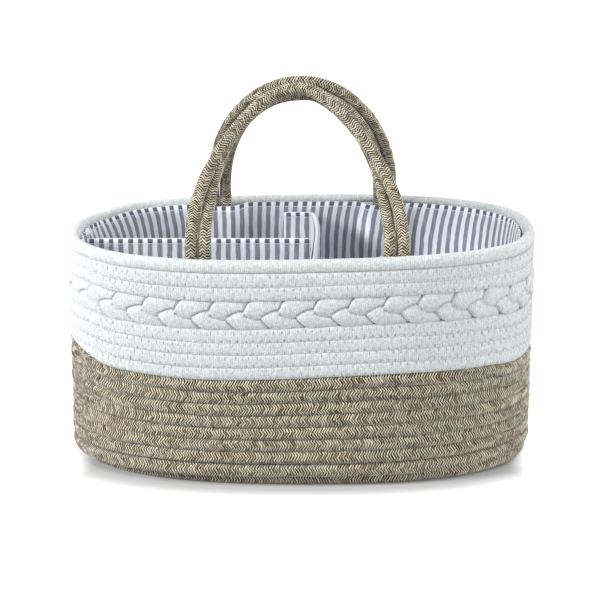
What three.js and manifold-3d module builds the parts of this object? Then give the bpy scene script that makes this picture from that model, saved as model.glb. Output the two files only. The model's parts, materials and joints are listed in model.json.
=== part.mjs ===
// Diaper caddy: an oval basket of coiled rope with a plaited band, two double rope handles, a striped
// lining and a removable T-shaped divider. Millimetres, +Z up, origin under the middle of the base.
// X runs along the length, the front is at -Y. Every coil winds anticlockwise seen from above.
import * as THREE from 'three';
import { mergeVertices } from 'three/addons/utils/BufferGeometryUtils.js';
import Module from 'manifold-3d';

const wasm = await Module();
wasm.setup();

// Plan of the basket, a rounded oval measured over the rope
const halfLength = 190;
const halfWidth = 114;
const ovalPower = 2.52;

// Rope of the base and wall
const ropeWidth = 10; // across the wall
const rowPitch = 10.1; // from one row of the wall to the next
const basePitch = 10.9; // from one turn of the base to the next
const coilGap = 0.5; // between touching turns
const footRadius = 6; // bend of the winding from base to wall, at the rope's middle
const footStretch = 5; // extra winding that the bend takes up
const footSpreadTurns = 3; // over which the extra winding is taken up
const stepsPerTurn = 24;
const flatDepthShare = 0.1; // of the rope, cut flat where the basket stands on it
const seamAngle = 150; // degrees round the plan, where every band starts and ends
const footTurn = 0.713; // turn of the winding that is halfway round the foot
const splitTurn = 0.75; // turn where the base coil hands over to the wall coil
const beigeRows = 9;
const lowerWhiteRows = 4;
const upperWhiteRows = 2;
const bandGap = 0.4; // between one band of rope and the next, and where rope ends butt

// Rim rope, which thins towards its end so that the rim stays level there
const rimHeight = 10.4;
const rimEndHeight = 4.4;
const rimTaperStartShare = 0.56; // of the turn

// Plaited band
const plaitHeight = 23.3;
const plaitDepth = 9.8;
const strandCount = 3;
const plaitPeriods = 12.2;
const plaitStart = 0.295; // of a period, where the strands begin
const plaitStepsPerPeriod = 10;
const strandHeight = 7.7;
const strandDepth = 3.3;
const outlinePoints = 720; // along which the wall's length is measured

// Lining
const liningGap = 0.5; // to the rope wall
const liningThickness = 2;
const liningTopDrop = 2.6; // below the rim's lowest crest at the seam
const hemHeight = 6;
const hemThickness = 0.8;
const seatGap = 0.3; // between pieces that touch

// Handles, each of two ropes that lie beside each other at the legs and cross over to lie one in front
// of the other at the top
const handleRope = 10;
const handleSides = 8;
const handleSteps = 30;
const capAngles = [60, 30]; // degrees, of the rings on a rounded rope end
const endSides = 12;
const legGap = 0.4; // from the outer leg rope to the inner side of the rope wall
const pivotHeight = 193;
const handlesApart = 0.6; // where the two handles lean together at the top
// Span is between the legs, reach along the leaning arch from the pivot to its top. The shifts are along
// X, of the legs' middle and of the top. The powers say how full the left and right shoulders are. The
// pair turns by twist about its own line, in degrees, over the arch's first twistEnd degrees on each side.
const frontHandle = {
  name: 'front_handle', side: -1, span: 154.5, reach: 132.7, legShift: -3.2, topShift: -1,
  powers: [1.88, 1.67], twist: 105, twistEnd: 49,
};
const rearHandle = {
  name: 'rear_handle', side: 1, span: 142, reach: 134.1, legShift: 0.9, topShift: 1.3,
  powers: [2.12, 1.98], twist: 62, twistEnd: 62,
};
const sewnLength = 58; // of each rope end, down between wall and lining
const pocketWall = 1.5;
const pocketFloor = 2;

// Dividers
const boardThickness = 1.8;
const sleeveThickness = 1;
const dividerHeight = 161; // over the sleeve
const dividerSideGap = 1; // to the lining
const leanSteps = 6;
const longDividerEnd = 6.6; // where its right end meets the cross divider, along X
const hookThickness = 1;
const hookWidth = 25;
const loopThickness = 0.8;
const crossLean = 7; // how far the top of the cross divider leans to the right
const tabLength = 24;
const tabThickness = 2.4;
const tabHeight = 158;

const overrun = 1; // of cutting tools past what they cut
const fullTurn = 2 * Math.PI;
const steps = (count) => Array.from({ length: count }, (_, i) => i);
const radians = THREE.MathUtils.degToRad;
const signedPower = (value, power) => Math.sign(value) * Math.abs(value) ** power;

// A point of the plan at a turning angle, moved inwards by an inset. The inset curves stay parallel
// near enough down to the middle line of the basket.
function planPoint(angle, inset) {
  const ovalX = signedPower(Math.cos(angle), 2 / ovalPower);
  const ovalY = signedPower(Math.sin(angle), 2 / ovalPower);
  const inwardX = Math.sign(ovalX) * Math.sqrt(Math.max(0, 1 - ovalY * ovalY));
  return new THREE.Vector2(halfLength * ovalX - inset * inwardX, (halfWidth - inset) * ovalY);
}

// Closed body from rings of points: neighbouring rings are joined, and the two ends are closed either
// flat, by a fan from a ring's own first point, or to a point
function ringBody(rings, { closed = false, tips = [] } = {}) {
  const sides = rings[0].length;
  const points = rings.flat();
  const faces = [];
  const joins = closed ? rings.length : rings.length - 1;
  for (let r = 0; r < joins; r++) {
    const low = r * sides;
    const high = ((r + 1) % rings.length) * sides;
    for (let s = 0; s < sides; s++) {
      const next = (s + 1) % sides;
      faces.push(low + s, low + next, high + next, low + s, high + next, high + s);
    }
  }
  if (!closed) {
    const last = (rings.length - 1) * sides;
    if (tips.length) {
      points.push(...tips);
      for (let s = 0; s < sides; s++) {
        const next = (s + 1) % sides;
        faces.push(points.length - 2, next, s, points.length - 1, last + s, last + next);
      }
    } else {
      for (let s = 1; s < sides - 1; s++) faces.push(0, s + 1, s, last, last + s, last + s + 1);
    }
  }
  const geometry = new THREE.BufferGeometry().setFromPoints(points);
  geometry.setIndex(faces);
  return outward(geometry);
}

// Turns a closed body's faces so that they point out
function outward(geometry) {
  const p = geometry.attributes.position;
  const index = geometry.index.array;
  const [a, b, c] = [new THREE.Vector3(), new THREE.Vector3(), new THREE.Vector3()];
  let volume = 0;
  for (let i = 0; i < index.length; i += 3) {
    a.fromBufferAttribute(p, index[i]);
    b.fromBufferAttribute(p, index[i + 1]);
    c.fromBufferAttribute(p, index[i + 2]);
    volume += a.dot(b.cross(c));
  }
  for (let i = 0; volume < 0 && i < index.length; i += 3) {
    [index[i], index[i + 1]] = [index[i + 1], index[i]];
  }
  return geometry;
}

// Booleans
function toSolid(geometry) {
  const plain = geometry.clone();
  for (const name of ['normal', 'uv']) plain.deleteAttribute(name);
  const merged = mergeVertices(plain);
  return new wasm.Manifold(new wasm.Mesh({
    numProp: 3,
    vertProperties: Float32Array.from(merged.attributes.position.array),
    triVerts: Uint32Array.from(merged.index.array),
  }));
}

function toGeometry(solid) {
  const mesh = solid.getMesh();
  const geometry = new THREE.BufferGeometry();
  geometry.setAttribute('position', new THREE.BufferAttribute(mesh.vertProperties.slice(), mesh.numProp));
  geometry.setIndex(new THREE.BufferAttribute(mesh.triVerts.slice(), 1));
  return geometry;
}

function block(x0, x1, y0, y1, z0, z1) {
  const box = new THREE.BoxGeometry(x1 - x0, y1 - y0, z1 - z0);
  return box.translate((x0 + x1) / 2, (y0 + y1) / 2, (z0 + z1) / 2);
}

// Materials
const finish = (color, roughness) => () => new THREE.MeshStandardMaterial({ color, roughness, metalness: 0 });
const beigeRope = finish(0xa89a82, 0.95);
const whiteRope = finish(0xdcdfdd, 0.9);
const stripedFabric = finish(0xb4b9c1, 0.95);
const loopFabric = finish(0xe4e6e6, 1);
const stiffBoard = finish(0xcfc8ba, 0.9);

const caddy = new THREE.Group();
function addPiece(name, geometry, material) {
  const mesh = new THREE.Mesh(geometry, material());
  mesh.name = name;
  caddy.add(mesh);
  return mesh;
}

// The winding, seen in section: it comes out along the floor, bends up round the foot and climbs the
// wall. Its place is an inset from the plan and a height, and its slope is 0 on the floor, 90 on the wall.
const flatDepth = flatDepthShare * ropeWidth;
const floorLevel = ropeWidth / 2 - flatDepth; // of the rope's middle on the floor
const wallInset = ropeWidth / 2;
const footArc = (footRadius * Math.PI) / 2;

function windingPlace(turn) {
  const past = turn - footTurn;
  const pitch = past < 0 ? basePitch : rowPitch;
  const eased = THREE.MathUtils.smoothstep(past / footSpreadTurns + 1 / 2, 0, 1) - 1 / 2;
  const along = past * pitch + footStretch * eased + footArc / 2;
  if (along < 0) return { inset: wallInset + footRadius - along, height: floorLevel, slope: 0 };
  if (along > footArc) {
    return { inset: wallInset, height: floorLevel + footRadius + along - footArc, slope: Math.PI / 2 };
  }
  const slope = along / footRadius;
  return {
    inset: wallInset + footRadius * (1 - Math.sin(slope)),
    height: floorLevel + footRadius * (1 - Math.cos(slope)),
    slope,
  };
}

// Height of the middle of row number `row` on the wall, on the winding's steady climb
const wallHeight = (turn) => windingPlace(turn).height;

// Six-sided section of a rope row at one step of a turn. Its corners face the neighbouring turns, its
// flats face in and out.
const sectionShares = [[1, 0], [1 / 2, 1], [-1 / 2, 1], [-1, 0], [-1 / 2, -1], [1 / 2, -1]];
function rowSection(turn, { inset, height, slope }, reach, depth) {
  const angle = radians(seamAngle) + turn * fullTurn;
  return sectionShares.map(([alongShare, outShare]) => {
    const along = alongShare * reach;
    const out = outShare * depth;
    const plan = planPoint(angle, inset - along * Math.cos(slope) - out * Math.sin(slope));
    return new THREE.Vector3(plan.x, plan.y, height + along * Math.sin(slope) - out * Math.cos(slope));
  });
}

const rowReach = (rowPitch - coilGap) / 2;
const turnStep = (step) => step / stepsPerTurn;

function coilRings(firstStep, lastStep, place = windingPlace, reach = () => rowReach) {
  return steps(lastStep - firstStep + 1).map((i) => {
    const turn = turnStep(firstStep + i);
    return rowSection(turn, place(turn), reach(turn), ropeWidth / 2);
  });
}

// Least gap between turns of a coil: each ring's sides and half-step sides against the points of the
// ring one turn on
function pointToSide(point, a, b) {
  const side = new THREE.Line3(a, b);
  return side.closestPointToPoint(point, true, new THREE.Vector3()).distanceTo(point);
}

function leastGap(rings) {
  let least = Infinity;
  for (let i = 0; i + stepsPerTurn < rings.length; i++) {
    const [own, other] = [rings[i], rings[i + stepsPerTurn]];
    own.forEach((point, k) => {
      other.forEach((corner, j) => {
        const nextCorner = other[(j + 1) % other.length];
        least = Math.min(least, pointToSide(point, corner, nextCorner));
        least = Math.min(least, pointToSide(corner, point, own[(k + 1) % own.length]));
      });
    });
  }
  return least;
}

function addCoil(name, rings, material, cutFlat = false) {
  console.log(`${name}: least gap between turns ${leastGap(rings).toFixed(2)} mm`);
  let geometry = ringBody(rings);
  if (cutFlat) {
    const under = block(-halfLength, halfLength, -halfWidth, halfWidth, -ropeWidth, 0);
    geometry = toGeometry(toSolid(geometry).subtract(toSolid(under)));
  }
  return addPiece(name, geometry, material);
}

// Shortens a coil's last ring so that the next rope butts against it with a gap
function trimEnd(rings, gap) {
  const last = rings.length - 1;
  rings[last] = rings[last].map((point, k) => {
    const before = rings[last - 1][k];
    return point.clone().lerp(before, gap / point.distanceTo(before));
  });
  return rings;
}

// Beige rope: base coil, from the middle of the basket to the foot, and wall coil, one rope on the
// real basket, parted at the foot
const baseReach = halfWidth - basePitch / 4 - wallInset - footRadius;
const coreTurn = -(baseReach - footStretch / 2 + footArc / 2) / basePitch;
const coreStep = Math.ceil((coreTurn + footTurn) * stepsPerTurn);
const splitStep = Math.round(splitTurn * stepsPerTurn);
const beigeEndStep = beigeRows * stepsPerTurn;
const winding = coilRings(coreStep, beigeEndStep);
console.log(`beige winding, base and wall: least gap between turns ${leastGap(winding).toFixed(2)} mm`);
const splitRing = splitStep - coreStep;
addCoil('base_rope_coil', trimEnd(winding.slice(0, splitRing + 1), bandGap), beigeRope, true);
addCoil('beige_wall_coil', trimEnd(winding.slice(splitRing), bandGap), beigeRope);

// White rows under the plait
const lowerEndStep = beigeEndStep + lowerWhiteRows * stepsPerTurn;
addCoil('white_lower_coil', trimEnd(coilRings(beigeEndStep, lowerEndStep), bandGap), whiteRope);

// Plait: three strands that weave up and down and in and out, measured along the wall
const plaitInset = wallInset;
const outline = steps(outlinePoints + 1).map((i) => {
  const angle = radians(seamAngle) + (i / outlinePoints) * fullTurn;
  return planPoint(angle, plaitInset);
});
const outlineLengths = outline.reduce((sums, point, i) => {
  sums.push(i ? sums[i - 1] + point.distanceTo(outline[i - 1]) : 0);
  return sums;
}, []);

function turnAtLength(length) {
  const i = Math.max(1, outlineLengths.findIndex((sum) => sum >= length));
  const [low, high] = [outlineLengths[i - 1], outlineLengths[i]];
  return (i - 1 + (length - low) / (high - low)) / outlinePoints;
}

const lowerTop = wallHeight(lowerEndStep / stepsPerTurn) - rowPitch / 2; // at the seam, of the lower rows
const plaitMiddle = (turnShare) => lowerTop + rowPitch * turnShare + coilGap / 2 + plaitHeight / 2;
const strandRise = (plaitHeight - strandHeight) / 2;
const strandSway = (plaitDepth - strandDepth) / 2;
const plaitLength = outlineLengths[outlinePoints];

function strandRings(strand) {
  const count = Math.round(plaitPeriods * plaitStepsPerPeriod);
  const endGap = bandGap / plaitLength;
  return steps(count + 1).map((i) => {
    const share = THREE.MathUtils.lerp(endGap, 1 - endGap, i / count);
    const wave = fullTurn * (share * plaitPeriods + plaitStart + strand / strandCount);
    const turn = turnAtLength(share * plaitLength);
    return rowSection(turn, {
      inset: plaitInset - strandSway * Math.sin(2 * wave),
      height: plaitMiddle(turn) + strandRise * Math.sin(wave),
      slope: Math.PI / 2,
    }, strandHeight / 2, strandDepth / 2);
  });
}
for (const strand of steps(strandCount)) {
  addPiece(`plait_strand_${strand + 1}`, ringBody(strandRings(strand)), whiteRope);
}

// White rows above the plait
const upperStart = (turn) => plaitMiddle(0) + plaitHeight / 2 + coilGap + rowReach + rowPitch * turn;
const wallPlace = (height) => ({ inset: wallInset, height, slope: Math.PI / 2 });
const upperEndStep = upperWhiteRows * stepsPerTurn;
const upperRings = coilRings(0, upperEndStep, (turn) => wallPlace(upperStart(turn)));
addCoil('white_upper_coil', trimEnd(upperRings, bandGap), whiteRope);

// Rim rope: one turn on top, thinner towards its end
const rimBottom = (turn) => upperStart(upperWhiteRows + turn) - rowReach;
function rimReach(turn) {
  const taper = Math.max(0, (turn - rimTaperStartShare) / (1 - rimTaperStartShare));
  return THREE.MathUtils.lerp(rimHeight, rimEndHeight, taper) / 2;
}
const rimRings = coilRings(0, stepsPerTurn, (turn) => wallPlace(rimBottom(turn) + rimReach(turn)), rimReach);
addPiece('rim_rope', ringBody(trimEnd(rimRings, bandGap)), whiteRope);

// Lining floor and wall. Their corners lie at the same turning angles as the rope's, so their flats
// stay parallel.
const liningInset = ropeWidth + liningGap;
const liningFloorLow = floorLevel + ropeWidth / 2 + seatGap;
const liningFloorTop = liningFloorLow + liningThickness;
const liningTop = rimBottom(0) + rimHeight - liningTopDrop;
const floorInset = liningInset + liningThickness / 2;

function ovalRing(inset, height) {
  return steps(stepsPerTurn).map((i) => {
    const plan = planPoint(turnStep(i) * fullTurn, inset);
    return new THREE.Vector3(plan.x, plan.y, height);
  });
}

// Half width of such a ring at a place along X, where one of its flats slopes
function halfWidthAt(x, inset) {
  const quarter = steps(stepsPerTurn / 4 + 1).map((i) => planPoint(turnStep(i) * fullTurn, inset));
  const next = quarter.findIndex((point) => point.x <= x);
  const [corner, nextCorner] = [quarter[next - 1], quarter[next]];
  return THREE.MathUtils.mapLinear(x, corner.x, nextCorner.x, corner.y, nextCorner.y);
}
const floorRings = [ovalRing(floorInset, liningFloorLow), ovalRing(floorInset, liningFloorTop)];
addPiece('lining_floor', ringBody(floorRings), stripedFabric);

const liningInner = liningInset + liningThickness;
const hemInset = liningInner + hemThickness;
const liningProfile = [
  [liningInset, liningFloorTop + seatGap],
  [liningInset, liningTop],
  [hemInset, liningTop],
  [hemInset, liningTop - hemHeight],
  [liningInner, liningTop - hemHeight - hemThickness],
  [liningInner, liningFloorTop + seatGap],
];
const liningRings = liningProfile.map(([inset, height]) => ovalRing(inset, height));
const liningShell = ringBody(liningRings, { closed: true });

// Pockets in the lining wall round the sewn-in rope ends, two ropes wide
const ropePitch = handleRope + seatGap;
const handleRadius = handleRope / 2;
const handleEndLow = liningTop - sewnLength;

// Leg ropes' line from the middle of the basket, along Y: the outermost rope stands close to the wall
function legLine(handle) {
  const outermost = Math.abs(handle.legShift) + handle.span / 2 + ropePitch / 2 + handleRadius;
  return halfWidthAt(outermost, ropeWidth) - legGap - handleRadius;
}

function pocket(handle, legSign, margin, top, bottom) {
  const x = handle.legShift + (legSign * handle.span) / 2;
  const halfPocket = ropePitch / 2 + handleRadius + seatGap + margin;
  const inner = legLine(handle) - handleRadius - seatGap - margin;
  const [y0, y1] = [inner, halfWidth - liningInset].map((y) => y * handle.side).sort((a, b) => a - b);
  return toSolid(block(x - halfPocket, x + halfPocket, y0, y1, bottom, top));
}

let lining = toSolid(liningShell);
const ropeFaceCut = ringBody([ovalRing(liningInset, 0), ovalRing(liningInset, pivotHeight)]);
const insideRope = toSolid(ropeFaceCut);
for (const handle of [frontHandle, rearHandle]) {
  for (const legSign of [-1, 1]) {
    const cover = pocket(handle, legSign, pocketWall, liningTop, handleEndLow - pocketFloor - seatGap);
    lining = lining.add(cover.intersect(insideRope));
  }
}
for (const handle of [frontHandle, rearHandle]) {
  for (const legSign of [-1, 1]) {
    lining = lining.subtract(pocket(handle, legSign, 0, pivotHeight, handleEndLow - seatGap));
  }
}
addPiece('lining_wall', toGeometry(lining), stripedFabric);

// Handles. A rope of a pair lies to the outside of the arch at the legs, and to the front of the other
// at the top.
// Lean at which the inner ropes of the two handles meet at the top. How far the inner rope stands out
// there depends on the lean, so a first value gives the final one.
function archLean(handle) {
  const halfTop = (handlesApart + handleRope) / 2;
  const firstLean = Math.asin((legLine(handle) - halfTop) / handle.reach);
  const topLine = halfTop + (ropePitch / 2) * Math.sin(radians(handle.twist) - firstLean);
  return Math.asin((legLine(handle) - topLine) / handle.reach);
}

function archPoint(handle, share, pairSide) {
  const lean = archLean(handle);
  const angle = share * Math.PI;
  const power = handle.powers[angle < Math.PI / 2 ? 0 : 1];
  const across = -signedPower(Math.cos(angle), 2 / power);
  const rise = Math.sin(angle) ** (2 / power);
  const reach = handle.reach * rise;
  const middle = new THREE.Vector3(
    THREE.MathUtils.lerp(handle.legShift, handle.topShift, rise) + (across * handle.span) / 2,
    handle.side * (legLine(handle) - reach * Math.sin(lean)),
    pivotHeight + reach * Math.cos(lean),
  );
  const inPlane = new THREE.Vector3(0, -handle.side * Math.sin(lean), Math.cos(lean));
  inPlane.multiplyScalar(rise).setX(across).normalize();
  const facing = new THREE.Vector3(0, handle.side * Math.cos(lean), Math.sin(lean));
  const fromLeg = Math.min(angle, Math.PI - angle);
  const turned = radians(handle.twist) * THREE.MathUtils.smoothstep(fromLeg, 0, radians(handle.twistEnd));
  const apart = inPlane.multiplyScalar(Math.cos(turned)).add(facing.multiplyScalar(Math.sin(turned)));
  return middle.addScaledVector(apart, (pairSide * ropePitch) / 2);
}

// Round tube along points, with half-round ends. The section is carried along without twisting.
function ropeTube(path, radius, sides) {
  const tangents = path.map((point, i) => {
    const before = path[Math.max(0, i - 1)];
    const after = path[Math.min(path.length - 1, i + 1)];
    return after.clone().sub(before).normalize();
  });
  let across = new THREE.Vector3(0, 1, 0);
  const ring = (centre, tangent, size) => {
    across = across.clone().addScaledVector(tangent, -across.dot(tangent)).normalize();
    const up = tangent.clone().cross(across);
    return steps(sides).map((s) => {
      const angle = ((s + 1 / 2) / sides) * fullTurn;
      const point = centre.clone().addScaledVector(across, size * Math.cos(angle));
      return point.addScaledVector(up, size * Math.sin(angle));
    });
  };
  const last = path.length - 1;
  const cap = (centre, tangent, sign) => capAngles.map(radians).map((a) => ring(
    centre.clone().addScaledVector(tangent, sign * radius * Math.sin(a)), tangent, radius * Math.cos(a)));
  const start = cap(path[0], tangents[0], -1);
  const body = path.map((point, i) => ring(point, tangents[i], radius));
  const end = cap(path[last], tangents[last], 1).reverse();
  const tips = [
    path[0].clone().addScaledVector(tangents[0], -radius),
    path[last].clone().addScaledVector(tangents[last], radius),
  ];
  return ringBody([...start, ...body, ...end], { tips });
}

for (const handle of [frontHandle, rearHandle]) {
  for (const [label, pairSide] of [['outer', 1], ['inner', -1]]) {
    const path = steps(handleSteps + 1).map((i) => archPoint(handle, i / handleSteps, pairSide));
    addPiece(`${handle.name}_${label}_rope`, ropeTube(path, handleRadius, handleSides), beigeRope);
  }
  for (const [sideLabel, legSign] of [['left', -1], ['right', 1]]) {
    for (const [label, pairSide] of [['outer', 1], ['inner', -1]]) {
      const top = pivotHeight - handleRadius - seatGap;
      const end = new THREE.CylinderGeometry(handleRadius, handleRadius, top - handleEndLow, endSides);
      end.rotateX(Math.PI / 2);
      const x = handle.legShift + legSign * (handle.span / 2 + (pairSide * ropePitch) / 2);
      const piece = addPiece(`${handle.name}_${sideLabel}_${label}_end`, end, beigeRope);
      piece.position.set(x, handle.side * legLine(handle), (top + handleEndLow) / 2);
    }
  }
}

// Dividers. Each is a board in a fabric sleeve that is open at the bottom. The cross divider leans to
// the right towards its top.
const dividerThickness = boardThickness + 2 * (sleeveThickness + seatGap);
const dividerLow = liningFloorTop + seatGap;
const dividerTop = dividerLow + dividerHeight;
const boardTop = dividerTop - sleeveThickness - seatGap;

// Upright slab along Y whose section leans along X, from its left face at the bottom
function leaningSlab(left, thickness, low, top, y0, y1) {
  const shape = new THREE.Shape();
  const lean = (height) => crossLean * Math.max(0, (height - dividerLow) / dividerHeight) ** 2;
  const heights = steps(leanSteps + 1).map((i) => THREE.MathUtils.lerp(low, top, i / leanSteps));
  shape.moveTo(left + lean(low), low);
  heights.slice(1).forEach((height) => shape.lineTo(left + lean(height), height));
  heights.slice().reverse().forEach((height) => shape.lineTo(left + thickness + lean(height), height));
  const slab = new THREE.ExtrudeGeometry(shape, { depth: y1 - y0, bevelEnabled: false });
  return slab.rotateX(Math.PI / 2).translate(0, y1, 0);
}

const crossLeft = longDividerEnd + hookThickness + loopThickness + 3 * seatGap;
const crossReach = halfWidthAt(crossLeft + dividerThickness + crossLean, hemInset) - dividerSideGap;
const crossSleeve = toSolid(leaningSlab(crossLeft, dividerThickness,
  dividerLow, dividerTop, -crossReach, crossReach));
const crossHollowEnd = crossReach - sleeveThickness;
const crossHollow = toSolid(leaningSlab(crossLeft + sleeveThickness, boardThickness + 2 * seatGap,
  dividerLow - overrun, boardTop + seatGap, -crossHollowEnd, crossHollowEnd));
addPiece('cross_divider_sleeve', toGeometry(crossSleeve.subtract(crossHollow)), stripedFabric);
const crossBoardEnd = crossHollowEnd - seatGap;
addPiece('cross_divider_board', leaningSlab(crossLeft + sleeveThickness + seatGap, boardThickness,
  dividerLow, boardTop, -crossBoardEnd, crossBoardEnd), stiffBoard);
addPiece('cross_divider_loop_facing', leaningSlab(crossLeft - seatGap - loopThickness, loopThickness,
  dividerLow, dividerTop, -crossBoardEnd + tabThickness, crossBoardEnd - tabThickness), loopFabric);

// End tabs of the cross divider, turned left along the front and back walls
for (const [label, side] of [['back', 1], ['front', -1]]) {
  const [y0, y1] = [crossReach - tabThickness, crossReach].map((y) => y * side).sort((a, b) => a - b);
  const right = crossLeft - seatGap;
  const tabTop = dividerLow + tabHeight;
  const tab = toSolid(block(right - tabLength, right + crossLean, y0, y1, dividerLow, tabTop));
  const clear = toSolid(leaningSlab(right, tabLength, dividerLow - overrun, dividerTop + overrun,
    -halfWidth, halfWidth));
  addPiece(`cross_divider_${label}_tab`, toGeometry(tab.subtract(clear)), stripedFabric);
}

// Long divider, from the lining's left end to the cross divider, with a hook strip on its end
const longStart = -(halfLength - hemInset - dividerSideGap);
const half = dividerThickness / 2;
const longSleeve = toSolid(block(longStart, longDividerEnd, -half, half, dividerLow, dividerTop));
const hollowHalf = half - sleeveThickness;
const longHollow = toSolid(block(longStart + sleeveThickness, longDividerEnd - sleeveThickness,
  -hollowHalf, hollowHalf, dividerLow - overrun, boardTop + seatGap));
addPiece('long_divider_sleeve', toGeometry(longSleeve.subtract(longHollow)), stripedFabric);
const boardHalf = boardThickness / 2;
addPiece('long_divider_board', block(longStart + sleeveThickness + seatGap,
  longDividerEnd - sleeveThickness - seatGap, -boardHalf, boardHalf, dividerLow, boardTop), stiffBoard);
addPiece('long_divider_hook_strip', block(longDividerEnd + seatGap, longDividerEnd + seatGap + hookThickness,
  -hookWidth / 2, hookWidth / 2, dividerLow, dividerLow + tabHeight), loopFabric);

for (const handle of [frontHandle, rearHandle]) {
  const lean = THREE.MathUtils.radToDeg(archLean(handle));
  const line = legLine(handle).toFixed(2);
  console.log(`${handle.name}: hinge line at ${line} mm, leans ${lean.toFixed(1)} degrees`);
}

export default caddy;
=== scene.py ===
import json
import math

import bpy
import numpy as np
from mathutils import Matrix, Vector


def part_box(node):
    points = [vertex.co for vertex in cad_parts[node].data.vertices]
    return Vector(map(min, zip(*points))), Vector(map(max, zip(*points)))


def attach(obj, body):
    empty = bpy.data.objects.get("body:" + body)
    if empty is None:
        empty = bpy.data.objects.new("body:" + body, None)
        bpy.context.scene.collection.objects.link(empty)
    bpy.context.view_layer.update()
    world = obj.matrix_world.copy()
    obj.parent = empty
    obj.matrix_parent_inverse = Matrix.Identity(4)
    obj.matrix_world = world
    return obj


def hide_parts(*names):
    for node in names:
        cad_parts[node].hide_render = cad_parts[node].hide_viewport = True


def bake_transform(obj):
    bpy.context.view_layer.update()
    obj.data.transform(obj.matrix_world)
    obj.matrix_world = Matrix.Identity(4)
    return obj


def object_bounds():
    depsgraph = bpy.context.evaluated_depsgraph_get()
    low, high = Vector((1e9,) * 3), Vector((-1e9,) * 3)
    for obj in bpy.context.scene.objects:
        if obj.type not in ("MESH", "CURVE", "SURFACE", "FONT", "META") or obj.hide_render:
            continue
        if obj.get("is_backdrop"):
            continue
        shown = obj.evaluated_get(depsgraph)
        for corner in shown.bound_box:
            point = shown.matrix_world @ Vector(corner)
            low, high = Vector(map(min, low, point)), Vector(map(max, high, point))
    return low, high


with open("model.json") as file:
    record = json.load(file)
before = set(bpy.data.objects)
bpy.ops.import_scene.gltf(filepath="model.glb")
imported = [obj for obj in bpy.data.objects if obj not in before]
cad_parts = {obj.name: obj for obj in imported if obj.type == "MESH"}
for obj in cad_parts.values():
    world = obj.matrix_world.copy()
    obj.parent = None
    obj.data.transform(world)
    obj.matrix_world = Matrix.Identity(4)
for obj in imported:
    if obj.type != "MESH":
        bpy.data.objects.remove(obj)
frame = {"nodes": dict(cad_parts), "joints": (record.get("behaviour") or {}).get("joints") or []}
cad_low, cad_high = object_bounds()

# The looks of an oval caddy of coiled rope: braided beige rope below, knitted white rope with a plait
# above, braided rope handles, a striped lining and a T-shaped divider. Metres, +Z up, front at -Y.
MM = 0.001
FULL_TURN = 2 * math.pi

# Plan and winding, the same sizes as the solids'
HALF_LENGTH = 190 * MM
HALF_WIDTH = 114 * MM
OVAL_POWER = 2.52
ROPE = 10 * MM
ROW_PITCH = 10.1 * MM
BASE_PITCH = 10.9 * MM
COIL_GAP = 0.5 * MM
FOOT_RADIUS = 6 * MM
FOOT_STRETCH = 5 * MM
FOOT_SPREAD_TURNS = 3
FOOT_ARC = FOOT_RADIUS * math.pi / 2
FLOOR_LEVEL = 4 * MM
WALL_INSET = ROPE / 2
SEAM_ANGLE = math.radians(150)
FOOT_TURN = 0.713
SPLIT_TURN = 0.75
BEIGE_ROWS = 9
LOWER_WHITE_ROWS = 4
UPPER_WHITE_ROWS = 2
RIM_HEIGHT = 10.2 * MM
RIM_END_HEIGHT = 2.6 * MM
RIM_TAPER_START = 0.56
RIM_TIP = 0.035  # of a turn, over which the rope's end is worked away
END_GAP = 0.4 * MM
ROW_OVERLAP = 0.85 * MM  # how far each white row is pressed into its neighbours
BRAID_OVERLAP = 0.75 * MM
FIRST_ROW_EASE = 0.4 * MM  # of the lowest white row, which lies on the beige rope
SPLICE_X = -176 * MM  # where the beige rope gives way to the white one, on the front
SPLICE_LENGTH = 42 * MM
END_COVER = (0.78, 0.91)  # of a turn, over which the rim's end widens down over the row under it

# Plait
PLAIT_HEIGHT = 23.3 * MM
PLAIT_PERIODS = 12.2
PLAIT_START = 0.295  # of a period, where the strands begin
STRANDS = 3
STRAND_HALF_DEPTH = 4.2 * MM
STRAND_POWER = 2.2
STRAND_POINTS = 120  # along one period
STRAND_SIDES = 56
LOBE_START = math.radians(-12)  # of a strand's wave, where it comes to the front
# A lobe of the plait, from there to half a period on: degrees, its outer and its inner edge from the
# band's middle, and how far its front stands out from the wall's middle, in mm
UPPER_LOBE = (
    (0, 3.2, 1.2, 3.2),
    (7, 6.2, 0.4, 5.2),
    (15, 9.4, -0.7, 5.9),
    (27, 12.0, -2.0, 6.1),
    (50, 12.4, -3.2, 5.9),
    (80, 12.4, -2.8, 5.3),
    (110, 12.3, -1.0, 4.5),
    (140, 12.2, 1.0, 3.6),
    (156, 11.6, 1.4, 2.4),
    (169, 5.6, -1.2, 1.8),
    (180, -1.2, -3.2, 3.2),
)
LOWER_LOBE = (
    (0, 3.2, 1.2, 3.2),
    (8, 5.0, 0.2, 5.0),
    (17, 7.2, -1.0, 5.8),
    (32, 10.4, -2.6, 6.1),
    (48, 12.3, -3.6, 5.9),
    (80, 12.4, -3.0, 5.3),
    (110, 12.3, -1.0, 4.5),
    (140, 12.2, 1.0, 3.7),
    (160, 11.8, 1.4, 2.8),
    (171, 6.0, -1.2, 1.8),
    (180, -1.2, -3.2, 3.2),
)
LOBE_EASE = 5  # degrees, over which the corners of its outline are rounded
CREASE = 1.35 * MM
CREASE_WIDTH = 0.7 * MM
INNER_CREASE = 1.35  # times as deep, in the middle of the band
KNIT_TILT = 0.3  # of the ribs, which run across the strands

# Braid of the beige rope
POINTS_AROUND = 16  # of a ring of the rope
BRAID_COLUMNS = 8
YARN_PITCH = 2.15 * MM
YARN_SHIFT = 2.5 * MM  # along the rope, across one column
YARN_RELIEF = 0.32 * MM

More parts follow.
